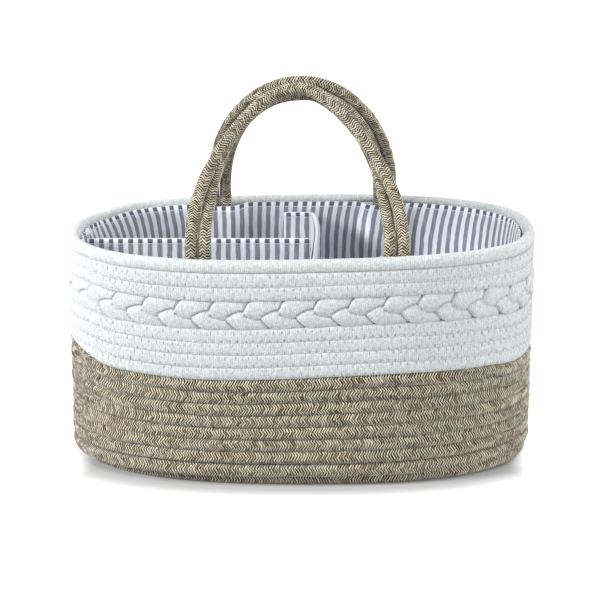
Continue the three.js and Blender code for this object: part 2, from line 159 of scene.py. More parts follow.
# Stitching of the white rows
STITCHES_PER_TURN = 160
STITCH_TURN = 0.092  # of the section, where a stitch enters the rope
STITCH_DRAW = 0.4 * MM  # of the rope's cover at a stitch
THREAD_RADIUS = 0.26 * MM
THREAD_SIDES = 4
ROW_POWER = 5.2  # how square the white rope is pressed between its neighbours
KNIT_SIDES = 28

# Unevenness of the rows along the front
SWAY = 1.9 * MM
SWAY_LENGTH = 285 * MM
SWAY_START = 2 * MM
LEFT_RISE = 2.6 * MM
RIGHT_DIP = 2.6 * MM
BACK_SWAY = 0.35  # times as much, along the back
BACK_SWAY_LENGTH = 310 * MM
BACK_SWAY_START = -40 * MM

# Lining and dividers
STRIPE_PERIOD = 8 * MM
LINING_INSET = 10.7 * MM
CLOTH = 1.2 * MM
HEM_DROP = 4.9 * MM  # of the lining's top below the rim's crest
HEM_HEIGHT = 3.6 * MM
PUCKER_LENGTH = 23 * MM  # of the waves along the hem
GATHER_LENGTH = 10.5 * MM  # of the closer ones at the left end
BEND_DEPTH = 45 * MM  # from the hem, below which the stripes hang straight
LEG_COVER = (10.5 * MM, 25 * MM)  # to each side of a handle's leg, where the cloth comes over it
LEG_COVER_HEIGHT = (96 * MM, 128 * MM)
LEG_COVER_GAP = 1.6 * MM  # from the leg's inner side to the cloth
CROSS_LEAN = 7 * MM  # of the cross divider's solids
DIVIDER_RAISE = 1 * MM  # of the dividers' tops over the solids'
TAB_RAISE = 2.4 * MM
DIVIDER_CORNER = 2.5 * MM  # by which the cross divider's top drops at its ends
TAB_CORNER = 0.6 * MM
LOOP_FOLDS = 1.6 * MM  # of the loop fabric, near the front
# Bow of the cross divider's top to the right, along the basket's width, in mm
DIVIDER_BOW = ((-99, -3.2), (-52, -0.4), (5, 1.9), (31, 2.5), (55, 2.1), (87, 0.0), (99, -3.4))


def vectors(x, y, z):
    """Points or directions, from arrays of their x, y and z."""
    return np.stack(np.broadcast_arrays(x, y, z), axis=-1)


def unit(values):
    return values / np.linalg.norm(values, axis=-1, keepdims=True)


def bell(x):
    """1 at 0, and nearly 0 from 2 on to both sides."""
    return np.exp(-(x**2))


def sums_along(line):
    """The length along a line of points up to each of them."""
    return np.concatenate([[0], np.cumsum(np.linalg.norm(np.diff(line, axis=0), axis=1))])


def smoothstep(x, low=0.0, high=1.0):
    t = np.clip((x - low) / (high - low), 0, 1)
    return t * t * (3 - 2 * t)


def plan_point(angle, inset):
    """Points of the rounded oval at turning angles, moved inwards by an inset."""
    c, s = np.cos(angle), np.sin(angle)
    oval_x = np.sign(c) * np.abs(c) ** (2 / OVAL_POWER)
    oval_y = np.sign(s) * np.abs(s) ** (2 / OVAL_POWER)
    inward_x = np.sign(oval_x) * np.sqrt(np.clip(1 - oval_y * oval_y, 0, None))
    return HALF_LENGTH * oval_x - inset * inward_x, (HALF_WIDTH - inset) * oval_y


# Even steps along the wall: the share of a turn's length against the share of its angle
ANGLE_SHARES = np.linspace(0, 1, 4001)
wall_x, wall_y = plan_point(SEAM_ANGLE + ANGLE_SHARES * FULL_TURN, WALL_INSET)
LENGTH_SUMS = np.concatenate([[0], np.cumsum(np.hypot(np.diff(wall_x), np.diff(wall_y)))])
WALL_LENGTH = LENGTH_SUMS[-1]


def turn_at(rounds):
    """The turn, counted by angle, at a number of rounds counted by length along the wall."""
    whole = np.floor(rounds)
    return whole + np.interp(rounds - whole, LENGTH_SUMS / WALL_LENGTH, ANGLE_SHARES)


def rounds_at(turn):
    whole = np.floor(turn)
    return whole + np.interp(turn - whole, ANGLE_SHARES, LENGTH_SUMS / WALL_LENGTH)


def winding_place(turn):
    """Inset and height of the beige rope's middle, along the floor, round the foot and up the wall."""
    past = turn - FOOT_TURN
    pitch = np.where(past < 0, BASE_PITCH, ROW_PITCH)
    eased = smoothstep(past / FOOT_SPREAD_TURNS + 0.5) - 0.5
    along = past * pitch + FOOT_STRETCH * eased + FOOT_ARC / 2
    slope = np.clip(along / FOOT_RADIUS, 0, math.pi / 2)
    inset = WALL_INSET + FOOT_RADIUS * (1 - np.sin(slope)) + np.clip(-along, 0, None)
    height = FLOOR_LEVEL + FOOT_RADIUS * (1 - np.cos(slope)) + np.clip(along - FOOT_ARC, 0, None)
    return inset, height, slope


def wall_height(turn):
    return winding_place(turn)[1]


ROW_REACH = (ROW_PITCH - COIL_GAP) / 2
LOWER_END = BEIGE_ROWS + LOWER_WHITE_ROWS
LOWER_TOP = wall_height(LOWER_END) - ROW_PITCH / 2


def plait_middle(turn):
    return LOWER_TOP + ROW_PITCH * turn + COIL_GAP / 2 + PLAIT_HEIGHT / 2


def upper_middle(turn):
    return plait_middle(0) + PLAIT_HEIGHT / 2 + COIL_GAP + ROW_REACH + ROW_PITCH * turn


def rim_bottom(turn):
    return upper_middle(UPPER_WHITE_ROWS + turn) - ROW_REACH


def rim_half_height(turn):
    """Half the rim's height, which tapers towards its end and is worked away there."""
    taper = np.clip((turn - RIM_TAPER_START) / (1 - RIM_TAPER_START), 0, 1)
    tip = 0.12 + 0.88 * np.sqrt(np.clip((1 - turn) / RIM_TIP, 0, 1))
    return (RIM_HEIGHT + (RIM_END_HEIGHT - RIM_HEIGHT) * taper) / 2 * tip


def rim_crest(turn):
    """Height of the rim's crest at a turning angle share, which meets itself at the seam."""
    return rim_bottom(turn % 1) + 2 * rim_half_height(turn % 1)


def wander(x, seed, scale=1.0):
    """Smooth unevenness between about -1 and 1, the same on each run."""
    x = x / scale
    waves = [(1.0, 0.0), (1.73, 1.3), (2.91, 4.1), (4.27, 2.2)]
    total = sum(np.sin(x * rate * FULL_TURN + phase + seed * (1.7 + rate)) / rate for rate, phase in waves)
    return total / 1.8


def settle(obj):
    """Lets the wall's rows dip to the left of the front's middle and rise to the right of it, as on the
    real basket, where the rows aren't drawn tight all round."""
    mesh = obj.data
    points = np.empty(len(mesh.vertices) * 3)
    mesh.vertices.foreach_get("co", points)
    points = points.reshape(-1, 3)
    x, y, z = points.T
    front = smoothstep(-y, -40 * MM, 70 * MM)
    wave = np.sin(FULL_TURN * (x + SWAY_START) / SWAY_LENGTH)
    wave = wave * (1 - 0.5 * smoothstep(np.abs(x), 150 * MM, 188 * MM))
    back_wave = BACK_SWAY * np.sin(FULL_TURN * (x + BACK_SWAY_START) / BACK_SWAY_LENGTH)
    weight = smoothstep(z, 12 * MM, 85 * MM) * (1 - 0.65 * smoothstep(z, 145 * MM, 182 * MM))
    ends = LEFT_RISE * smoothstep(-x, 146 * MM, 178 * MM) - RIGHT_DIP * smoothstep(x, 148 * MM, 174 * MM)
    points[:, 2] += weight * (SWAY * (front * wave + (1 - front) * back_wave) + front * ends)
    mesh.vertices.foreach_set("co", points.ravel())
    mesh.update()


# Meshes


def add_object(name, data, place=(0, 0, 0), turned=(0, 0, 0)):
    obj = bpy.data.objects.new(name, data)
    obj.location, obj.rotation_euler = place, turned
    bpy.context.scene.collection.objects.link(obj)
    return obj


def make_mesh(name, points, faces, uv=None):
    """An object from points and faces, with a UV pair for each face corner if given."""
    mesh = bpy.data.meshes.new(name)
    mesh.from_pydata([tuple(p) for p in points], [], [tuple(f) for f in faces])
    if uv is not None:
        layer = mesh.uv_layers.new(name="rope")
        layer.data.foreach_set("uv", np.asarray(uv, np.float32).ravel())
    mesh.polygons.foreach_set("use_smooth", [True] * len(mesh.polygons))
    mesh.update()
    return add_object(name, mesh)


def grid_faces(rows, columns, wrap_rows=False, wrap_columns=True):
    """Quads of a grid of points, and each face's four (row, column) corners without wrapping."""
    r, c = np.indices((rows - 1 + wrap_rows, columns - 1 + wrap_columns)).reshape(2, -1)
    corner_rows = np.stack([r, r, r + 1, r + 1], axis=1)
    corner_columns = np.stack([c, c + 1, c + 1, c], axis=1)
    return corner_rows % rows * columns + corner_columns % columns, corner_rows, corner_columns


def tube(name, rings, along, around):
    """Closed tube of rings (n, m, 3). along (n, m) and around (m + 1) give the UVs."""
    count, sides = rings.shape[:2]
    faces, rows, columns = grid_faces(count, sides)
    u = np.concatenate([along, along[:, :1]], axis=1)[rows, columns]
    v = np.asarray(around)[columns]
    uv = np.stack([u, v], axis=2).reshape(-1, 2)
    points = np.concatenate([rings.reshape(-1, 3), rings[0].mean(0)[None], rings[-1].mean(0)[None]])
    tip = count * sides
    last = tip - sides
    own = np.arange(sides)
    following = (own + 1) % sides
    start = np.stack([np.full(sides, tip), following, own], axis=1)
    end = np.stack([np.full(sides, tip + 1), last + own, last + following], axis=1)
    cap_uv = np.repeat([(along[0, 0], 0), (along[-1, 0], 0)], 3 * sides, axis=0)
    all_faces = [*faces.tolist(), *start.tolist(), *end.tolist()]
    return make_mesh(name, points, all_faces, np.concatenate([uv, cap_uv]))


def values_at(at, sums, values):
    """Vectors that are given at the lengths sums, at other lengths."""
    return np.stack([np.interp(at, sums, values[:, k]) for k in range(3)], axis=-1)


def resampled(line, spacing):
    """The same line with its points at even spacing."""
    sums = sums_along(line)
    return values_at(np.linspace(0, sums[-1], int(round(sums[-1] / spacing)) + 1), sums, line)


def section_sides(line, outward):
    """The lengths along a line, and the outward and upward directions of its section. outward (n, 3)
    is the side that faces out."""
    sums = sums_along(line)
    tangents = unit(np.gradient(line, sums, axis=0))
    out = unit(outward - (outward * tangents).sum(1, keepdims=True) * tangents)
    up = np.cross(tangents, out)
    return sums, out, up * np.where(up[:, 2:3].mean() < 0, -1, 1)


def section_points(middle, out, up, reach, angle):
    return middle + out * (reach * np.cos(angle))[..., None] + up * (reach * np.sin(angle))[..., None]


def section_reach(angle, half_out, half_up, power):
    """Distance from the middle of a rounded section to its edge."""
    c, s = np.abs(np.cos(angle)) / half_out, np.abs(np.sin(angle)) / half_up
    return (c**power + s**power) ** (-1 / power)


def braided_rope(name, line, outward, half_out, half_up, power, seed, twist_length=1.1):
    """A rope of braided yarns along a line of points. The mesh follows the yarns: each ring zigzags
    with the columns of the braid, and rings lie by turns on the crests and in the grooves between the
    yarns. The rope turns slowly about its own line."""
    sums, out, up = section_sides(line, outward)
    column = np.arange(POINTS_AROUND) * BRAID_COLUMNS / POINTS_AROUND
    zigzag = 1 - np.abs(column % 2 - 1)
    ring = np.arange(int((sums[-1] + YARN_SHIFT) / YARN_PITCH * 2) + 2)[:, None]
    at = np.clip(ring * YARN_PITCH / 2 - YARN_SHIFT * zigzag, 0, sums[-1])
    turned = wander(at, seed, twist_length) * 0.25 + at / (2.6 * twist_length)
    angle = (np.arange(POINTS_AROUND) / POINTS_AROUND + turned) * FULL_TURN
    relief = np.where(ring % 2 == 0, 0.5, -0.5) * YARN_RELIEF - 0.25 * YARN_RELIEF * (column % 1 == 0)
    uneven = 1 + 0.02 * wander(at, seed + 3, 0.04) + 0.015 * wander(angle / 3 + at / 0.03, seed + 5)
    half_up = np.interp(at, sums, np.broadcast_to(half_up, len(line)))
    reach = section_reach(angle, half_out, half_up, power) * uneven + relief - YARN_RELIEF / 2
    rings = section_points(*(values_at(at, sums, values) for values in (line, out, up)), reach, angle)
    return tube(name, rings, at, np.arange(POINTS_AROUND + 1) / POINTS_AROUND)


def outward_line(angle, inset, height, slope=math.pi / 2):
    """Points at turning angles of the winding, and the way out from them across its slope."""
    x, y = plan_point(angle, inset)
    outer_x, outer_y = plan_point(angle, inset - 1 * MM * np.sin(slope))
    return vectors(x, y, height), vectors(outer_x - x, outer_y - y, -1 * MM * np.cos(slope))


def coil_line(first, last, place, spacing):
    """Middle line of a coil from one number of rounds to another, its outward side and its turns."""
    count = int((last - first) * WALL_LENGTH / spacing) + 1
    turn = turn_at(np.linspace(first, last, count))
    inset, height, slope = place(turn)
    angle = SEAM_ANGLE + turn * FULL_TURN
    uneven = 0.35 * MM * wander(angle / FULL_TURN % 1 * 3 + height / (60 * MM), 2.0)
    return *outward_line(angle, inset + uneven * np.sin(slope), height, slope), turn


def knit_rope(name, line, outward, half_out, half_up, stitches=True, power=ROW_POWER, seed=0.0):
    """A rope in a fine knitted cover, drawn in a little at each stitch. half_out and half_up may change
    along it."""
    sums, out, up = section_sides(line, outward)
    around = np.arange(KNIT_SIDES + 1) / KNIT_SIDES
    if power > 3:  # more points towards the corners
        around = around - 0.022 * np.sin(4 * FULL_TURN * around)
    angle = around[:-1] * FULL_TURN
    halves = (np.broadcast_to(half, len(line))[:, None] for half in (half_out, half_up))
    reach = section_reach(angle[None, :], *halves, power)
    stitch = sums[:, None] * STITCHES_PER_TURN / WALL_LENGTH
    if stitches:
        for phase, sign in ((0.0, 1), (0.5, -1)):
            near = bell(((stitch - phase + 0.5) % 1 - 0.5) / 0.17)
            facing = bell(((angle / FULL_TURN - sign * STITCH_TURN + 0.5) % 1 - 0.5) / 0.06)
            reach = reach - STITCH_DRAW * near * facing
    reach = reach * (1 + 0.012 * wander(sums[:, None] / 0.012 + angle / 2, seed))
    rings = section_points(line[:, None], out[:, None], up[:, None], reach, angle)
    return tube(name, rings, np.broadcast_to(sums[:, None], reach.shape), around)


# Materials


class Nodes:
    """Short way to write a material's nodes. A socket or a number may stand for any input, and the
    name of an operation in small letters makes a Math node, as in nodes.multiply(first, second)."""

    def __init__(self, name, roughness=0.9, sheen=0.0):
        self.material = bpy.data.materials.new(name)
        self.material.use_nodes = True
        self.tree = self.material.node_tree
        self.shader = self.tree.nodes["Principled BSDF"]
        self.put(self.shader, {"Roughness": roughness, "Specular IOR Level": 0.25, "Sheen Weight": sheen,
                               "Sheen Roughness": 0.5})

    def put(self, node, inputs):
        for key, value in inputs.items():
            if isinstance(value, bpy.types.NodeSocket):
                self.tree.links.new(value, node.inputs[key])
            else:
                node.inputs[key].default_value = value
        return node

    def node(self, kind, inputs=(), **settings):
        made = self.tree.nodes.new("ShaderNode" + kind)
        for key, value in settings.items():
            setattr(made, key, value)
        return self.put(made, dict(inputs))

    def __getattr__(self, operation):
        def made(*values):
            return self.node("Math", dict(enumerate(values)), operation=operation.upper()).outputs[0]

        return made

    def about(self, value, noise, reach):
        """A value moved to both sides by a noise between 0 and 1."""
        return self.multiply_add(self.subtract(noise, 0.5), reach, value)

    def ramp(self, value, low, high, out_low=0.0, out_high=1.0):
        made = self.node("MapRange", {0: value, 1: low, 2: high, 3: out_low, 4: out_high})
        made.interpolation_type = "SMOOTHSTEP"
        return made.outputs[0]

    def fade(self, value, low, high):
        return self.ramp(value, low, high, 1.0, 0.0)

    def mix(self, share, first, second):
        first, second = ((*color, 1) if isinstance(color, tuple) else color for color in (first, second))
        return self.node("Mix", {0: share, 6: first, 7: second}, data_type="RGBA").outputs[2]

    def uv(self):
        read = self.node("UVMap", uv_map="rope")
        apart = self.node("SeparateXYZ", {0: read.outputs[0]})
        return apart.outputs[0], apart.outputs[1]

    def cell(self, x, y):
        """Three random numbers that are the same all over a cell."""
        joined = self.node("CombineXYZ", {0: x, 1: y})
        noise = self.node("TexWhiteNoise", {0: joined.outputs[0]})
        apart = self.node("SeparateColor", {0: noise.outputs[1]})
        return apart.outputs[0], apart.outputs[1], apart.outputs[2]

    def noise(self, scale, detail, vector=None):
        inputs = {"Scale": scale, "Detail": detail, "Roughness": 0.6}
        inputs["Vector"] = vector or self.node("TexCoord").outputs["Object"]
        return self.node("TexNoise", inputs).outputs[0]

    def drawn(self, u, v, u_rate, v_rate, detail=2):
        """Noise at its own rate along u and v."""
        place = self.node("CombineXYZ", {0: self.multiply(u, u_rate), 1: self.multiply(v, v_rate)})
        return self.noise(1.0, detail, place.outputs[0])

    def finish(self, color, height, distance):
        bump = self.node("Bump", {"Strength": 1.0, "Distance": distance, "Height": height})
        self.put(self.shader, {"Base Color": color, "Normal": bump.outputs[0]})
        return self.material


def linear(r, g, b):
    """Screen colour, 0 to 255, as the linear values of a material."""
    return tuple((c / 255 / 12.92) if c < 10.3 else ((c / 255 + 0.055) / 1.055) ** 2.4 for c in (r, g, b))


def beige_material():
    """Braid whose yarns run slantwise in columns, pale yarns between dark and half-dark ones, with painted
    shade in the grooves between them.
    """
    n = Nodes("beige_braid", sheen=0.25)
    u, v = n.uv()
    column = n.about(n.multiply(v, BRAID_COLUMNS), n.drawn(u, v, 60, 4), 1.1)
    zigzag = n.pingpong(column, 1.0)
    phase = n.multiply_add(zigzag, YARN_SHIFT / YARN_PITCH, n.divide(u, YARN_PITCH))
    fibre = n.drawn(u, v, 1100, 30, 4)
    phase = n.about(phase, fibre, 0.34)
    phase = n.about(phase, n.drawn(u, v, 170, 21), 0.9)
    phase = n.add(phase, 0.25)
    yarn, within = n.floor(phase), n.fract(phase)
    first, second, third = n.cell(yarn, n.floor(column))
    # Dark yarns and painted shade in the grooves between the yarns, of which some are thin and some are
    # faint
    from_groove = n.absolute(n.subtract(within, 0.75))
    dark_yarn_and_groove_shade = n.fade(n.divide(from_groove, n.ramp(first, 0.0, 1.0, 0.38, 0.56)), 0.55, 1.05)
    patches = n.multiply_add(n.noise(150.0, 2), 0.9, n.multiply(second, 0.55))
    dark_yarn_and_groove_shade = n.multiply(dark_yarn_and_groove_shade, n.ramp(patches, 0.35, 0.75, 0.75, 1.0))
    cream = n.mix(n.ramp(third, 0.55, 1.0), linear(228, 218, 192), linear(158, 146, 116))
    pale = n.mix(n.greater_than(second, 0.985), cream, linear(150, 126, 96))
    dark = n.mix(n.ramp(third, 0.35, 1.0), linear(12, 8, 4), linear(54, 42, 28))
    # The grooves are painted dark: dark yarn together with painted shade
    color = n.mix(dark_yarn_and_groove_shade, pale, dark)
    speckle = n.ramp(n.noise(1500.0, 3), 0.42, 0.72, 0.0, 0.4)
    color = n.mix(speckle, color, linear(84, 70, 49))
    return n.finish(color, n.multiply_add(fibre, 0.35, n.multiply(dark_yarn_and_groove_shade, -1.0)), 0.5 * MM)


def white_material(name, stitches):
    """Fine knit with soft, uneven ribs across the rope, painted darker in their troughs as shade, and
    needle holes, painted dark as the shade in them, where rows are sewn together.
    """
    n = Nodes(name, sheen=0.05)
    u, v = n.uv()
    slant = n.multiply_add(n.drawn(u, v, 300, 7), 1.8, n.divide(u, 1.6 * MM))
    ribs = n.sine(n.multiply(slant, FULL_TURN))
    broad = n.drawn(u, v, 380, 10)
    fine = n.drawn(u, v, 1500, 44, 3)
    fuzz = n.noise(1100.0, 4)
    pale, shade = linear(221, 225, 224), linear(180, 185, 184)
    color = n.mix(n.ramp(broad, 0.35, 0.7, 0.0, 0.9), pale, shade)
    # Painted shade: the troughs between the ribs are darkened towards the shade colour
    color = n.mix(n.ramp(ribs, -1.0, 0.3, 0.75, 0.0), color, shade)
    color = n.mix(n.ramp(fine, 0.42, 0.7, 0.0, 0.9), color, linear(166, 171, 170))
    height = n.multiply_add(ribs, 0.22, n.multiply_add(fine, -0.8, fuzz))
    height = n.multiply_add(broad, -1.6, height)
    if stitches:
        half = n.floor(n.multiply(v, 2.0))
        jitter = n.drawn(u, half, 80, 1, 1)
        stitch = n.about(n.multiply(u, STITCHES_PER_TURN / WALL_LENGTH), jitter, 1.2)
        depth = n.cell(n.floor(n.multiply(stitch, 2.0)), half)[0]
        painted_hole_shade = None
        for phase, place in ((0.0, STITCH_TURN), (0.5, 1 - STITCH_TURN)):
            beat = n.pingpong(n.subtract(stitch, phase), 0.5)
            aside = n.absolute(n.subtract(v, place))
            near = n.add(n.power(n.divide(beat, 0.09), 2.0), n.power(n.divide(aside, 0.036), 2.0))
            hole = n.fade(near, 0.1, 1.3)
            painted_hole_shade = hole if painted_hole_shade is None else n.maximum(painted_hole_shade, hole)
        painted_hole_shade = n.multiply(painted_hole_shade, n.ramp(depth, 0.0, 0.8, 0.1, 1.0))
        # The needle holes are painted darker: painted shade in the holes
        color = n.mix(n.multiply(painted_hole_shade, 0.75), color, linear(132, 132, 126))
        height = n.subtract(height, n.multiply(painted_hole_shade, 1.5))
    return n.finish(color, height, 0.32 * MM)


def cloth_material(name, fold):
    """Grey and white stripes along v, with a hem over the first few millimetres of v, under a white
    fold of the given height. A wide fold is sewn through."""
    n = Nodes(name, roughness=0.95, sheen=0.05)
    u, v = n.uv()
    place = n.about(u, n.drawn(u, v, 60, 60), 2.2 * MM)
    beat = n.pingpong(n.divide(place, STRIPE_PERIOD), 0.5)
    grey = n.ramp(n.about(beat, n.noise(2600.0, 2), 0.03), 0.235, 0.265)
    threads = [n.sine(n.multiply(way, FULL_TURN / (0.42 * MM))) for way in (u, v)]
    yarn = n.ramp(n.drawn(u, v, 1700, 90), 0.3, 0.7)
    white, dark, cap = (
        n.mix(yarn, linear(*first), linear(*second))
        for first, second in (
            ((221, 226, 237), (240, 244, 252)),
            ((126, 127, 134), (158, 158, 165)),
            ((78, 80, 90), (106, 108, 118)),
        )
    )
    hem = HEM_HEIGHT + fold
    stripes = n.mix(grey, white, n.mix(n.less_than(v, hem), dark, cap))
    from_seam = n.absolute(n.subtract(v, hem + 0.35 * MM))
    dash = n.less_than(n.fract(n.divide(u, 2.6 * MM)), 0.8)
    seam = n.multiply(n.fade(from_seam, 0.25 * MM, 0.5 * MM), dash)
    color = n.mix(n.multiply(seam, 0.8), stripes, linear(214, 219, 228))
    if fold:
        folded = linear(226, 230, 238) if fold < 1 * MM else linear(192, 196, 203)
        color = n.mix(n.ramp(v, fold, fold + 0.25 * MM), folded, color)
    if fold > 1 * MM:
        from_row = n.absolute(n.subtract(v, 0.6 * fold))
        spot = n.less_than(n.fract(n.divide(u, 2.2 * MM)), 0.45)
        hole = n.multiply(n.fade(from_row, 0.2 * MM, 0.5 * MM), spot)
        color = n.mix(n.multiply(hole, 0.75), color, linear(140, 142, 148))
    return n.finish(color, n.add(n.multiply(n.multiply(*threads), 0.35), seam), 0.15 * MM)


def plain_material(name, color, other, scale, roughness=0.95, sheen=0.1, distance=0.2 * MM):
    """Cloth or board of nearly one colour, with a fine uneven surface."""
    n = Nodes(name, roughness=roughness, sheen=sheen)
    grain = n.noise(scale, 4)
    return n.finish(n.mix(n.ramp(grain, 0.3, 0.7), linear(*color), linear(*other)), grain, distance)


beige = beige_material()
white_stitched = white_material("white_knit_stitched", True)
white_knit = white_material("white_knit", False)
striped = cloth_material("striped_cloth", 0)
striped_folded = cloth_material("striped_cloth_folded", 0.25 * MM)
striped_bound = cloth_material("striped_cloth_bound", 4 * MM)
loop_cloth = plain_material("loop_cloth", (180, 184, 190), (202, 205, 210), 1400.0, distance=0.4 * MM)
thread_white = plain_material("thread", (222, 224, 222), (238, 240, 238), 3000.0)
board = plain_material("stiff_board", (200, 190, 170), (214, 206, 188), 500.0, roughness=0.8)


def dress(obj, material, body, slot, *nodes):
    """Gives a piece its material and body and hides the solids that it stands for; the slot is not used.
    """
    obj.data.materials.append(material)
    if body == "basket":
        settle(obj)
    if body:
        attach(obj, body)
    if nodes:
        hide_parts(*nodes)


# Rope of the base and wall


def splice_share(line, turn):
    """From 0 to 1 over the splice, by the way along the line from its start."""
    sums = sums_along(line)
    middle = np.interp(SPLICE_TURN, turn, sums)
    return np.clip((sums - middle) / SPLICE_LENGTH + 0.5, 0, 1)


# The turn at which the front of the last beige row reaches the splice
splice_cos = abs(SPLICE_X / HALF_LENGTH) ** (OVAL_POWER / 2)
SPLICE_TURN = BEIGE_ROWS + (math.pi + math.acos(splice_cos) - SEAM_ANGLE) / FULL_TURN
SPLICE_REACH = 0.7 * SPLICE_LENGTH / WALL_LENGTH


def beige_coils():
    inner = HALF_WIDTH - BASE_PITCH / 4 - WALL_INSET - FOOT_RADIUS
    core_turn = FOOT_TURN - (inner - FOOT_STRETCH / 2 + FOOT_ARC / 2) / BASE_PITCH
    split = rounds_at(SPLIT_TURN)
    end = rounds_at(SPLICE_TURN) + SPLICE_REACH
    for name, node, first, last, seed in (
        ("base_rope", "base_rope_coil", rounds_at(core_turn), split, 1.0),
        ("beige_wall_rope", "beige_wall_coil", split, end, 4.0),
    ):
        line, outward, turn = (values[:-1] for values in coil_line(first, last, winding_place, 2 * MM))
        half_up = BASE_PITCH / 2 - 0.05 * MM
        if name == "beige_wall_rope":
            spliced = 0.9 * splice_share(line, turn)
            half_up = (ROW_PITCH / 2 + BRAID_OVERLAP) * (1 - spliced)
            line[:, 2] -= (ROW_PITCH / 2 + BRAID_OVERLAP) * spliced
        rope = braided_rope(name, line, outward, ROPE / 2 + 0.1 * MM, half_up, 2.6, seed)
        # Rope that stands on a surface is pressed flat under it
        for vertex in rope.data.vertices:
            vertex.co.z = max(vertex.co.z, 0.0)
        dress(rope, beige, "basket", "beige_rope", node)


def wall_place(height_at):
    """The inset, height and slope of a row of the wall at a turn, by its height."""
    return lambda turn: (WALL_INSET, height_at(turn), math.pi / 2)


def white_coils():
    spacing = WALL_LENGTH / STITCHES_PER_TURN / 5
    start = rounds_at(SPLICE_TURN) - SPLICE_REACH
    for name, node, first, last, height_at in (
        ("white_lower_rope", "white_lower_coil", start, LOWER_END, wall_height),
        ("white_upper_rope", "white_upper_coil", 0, UPPER_WHITE_ROWS, upper_middle),
    ):
        line, outward, turn = coil_line(first, last, wall_place(height_at), spacing)
        half = np.full(len(line), ROW_PITCH / 2 + ROW_OVERLAP)
        if name == "white_lower_rope":
            eased = FIRST_ROW_EASE * (1 - smoothstep(turn - SPLICE_TURN, 0.9, 1.1))
            half = half - eased
            line[:, 2] += eased
            hidden = 1 - splice_share(line, turn)
            line[:, 2] += half * 0.9 * hidden
            half = half * (1 - 0.9 * hidden)
        rope = knit_rope(name, line, outward, ROPE / 2, half, seed=last)
        dress(rope, white_stitched, "basket", "white_rope", node)
    # The rim's end tapers and widens down over the row under it, so that it leaves no groove
    low = lambda turn: rim_bottom(turn) - ROW_PITCH * smoothstep(turn, *END_COVER) - 0.3 * MM
    high = lambda turn: rim_bottom(np.minimum(turn, 1)) + 2 * rim_half_height(np.minimum(turn, 1))
    middle = lambda turn: (low(turn) + high(turn)) / 2
    line, outward, turn = coil_line(0, 1.01, wall_place(middle), spacing)
    half_out = ROPE / 2 + 0.3 * MM * smoothstep(turn, *END_COVER)
    half_out = half_out - 0.9 * MM * smoothstep(turn, 0.985, 1.005)
    half_up = (high(turn) - low(turn)) / 2 - 0.4 * MM * smoothstep(turn, 0.99, 1.005)
    rim = knit_rope("rim_rope_cover", line, outward, half_out, half_up, False, 2.3, 7.0)
    dress(rim, white_knit, "basket", "white_rope", "rim_rope")


def lobe_outline():
    """The upper edge, lower edge and front level of a strand over a whole period, one value a degree."""
    at = np.arange(180)
    first, second = ([np.interp(at, degrees, values) * MM for values in edges]
                     for degrees, *edges in (np.array(UPPER_LOBE).T, np.array(LOWER_LOBE).T))
    whole = np.concatenate([first, [-second[1], -second[0], second[2]]], axis=1)
    offset = np.arange(-3 * LOBE_EASE, 3 * LOBE_EASE + 1)
    weight = bell(offset / LOBE_EASE)
    weight /= weight.sum()
    return sum(w * np.roll(whole, k, axis=1) for w, k in zip(weight, offset))


LOBE_OUTLINE = lobe_outline()


def strand_place(share, strand):
    """Upper edge, lower edge and front level of a strand, and its way past where it came to the front."""
    wave = FULL_TURN * (share * PLAIT_PERIODS + PLAIT_START + strand / STRANDS) - LOBE_START
    at = np.degrees(wave) % 360
    return *(np.interp(at, np.arange(360), values, period=360) for values in LOBE_OUTLINE), at


def plait():
    """Three strands. Each comes to the front in the middle of the band, over the other two, and is
    pressed in along the edges of those that lie over it in turn."""
    count = round(PLAIT_PERIODS * STRAND_POINTS)
    share = np.linspace(END_GAP / WALL_LENGTH, 1 - END_GAP / WALL_LENGTH, count)
    turn = turn_at(share)
    direction = SEAM_ANGLE + turn * FULL_TURN
    middle = plait_middle(turn)[:, None]
    around = np.arange(STRAND_SIDES + 1) / STRAND_SIDES
    around = around - 0.05 * np.sin(FULL_TURN * around)  # more points at the front
    angle = around[None, :-1] * FULL_TURN
    step = share[1] - share[0]
    for strand in range(STRANDS):
        upper, lower, front, at = strand_place(share, strand)
        half_up = ((upper - lower) / 2)[:, None]
        reach = section_reach(angle, STRAND_HALF_DEPTH, half_up, STRAND_POWER)
        reach = reach * (1 + 0.01 * wander(share[:, None] * WALL_LENGTH / 0.012 + angle / 2, strand))
        height = ((upper + lower) / 2)[:, None] + reach * np.sin(angle)
        out = front[:, None] - STRAND_HALF_DEPTH + reach * np.cos(angle)
        pressed = np.zeros_like(out)
        for other in range(STRANDS):
            other_upper, other_lower, _, other_at = strand_place(share, other)
            over = (other_at % 180 < at % 180)[:, None]
            rising = other_at < 180
            for edge, sign in ((other_upper, 1), (other_lower, -1)):
                inner = np.where(rising == (sign < 0), INNER_CREASE, 1)[:, None]
                slope = np.gradient(edge, step * WALL_LENGTH)
                outside = (sign * (height - edge[:, None])) / np.sqrt(1 + slope * slope)[:, None]
                trench = bell((outside - CREASE_WIDTH / 2) / CREASE_WIDTH)
                pressed = np.maximum(pressed, np.where(over, trench * inner, 0))
        out = out - CREASE * pressed * smoothstep(np.cos(angle), -0.1, 0.3)
        x, y = plan_point(direction[:, None], WALL_INSET - out)
        rings = vectors(x, y, middle + height)
        tilt = KNIT_TILT * np.sin(np.radians(at))[:, None]
        along = share[:, None] * WALL_LENGTH + tilt * height
        rope = tube(f"plait_rope_{strand + 1}", rings, along, around)
        dress(rope, white_knit, "basket", "white_rope", f"plait_strand_{strand + 1}")


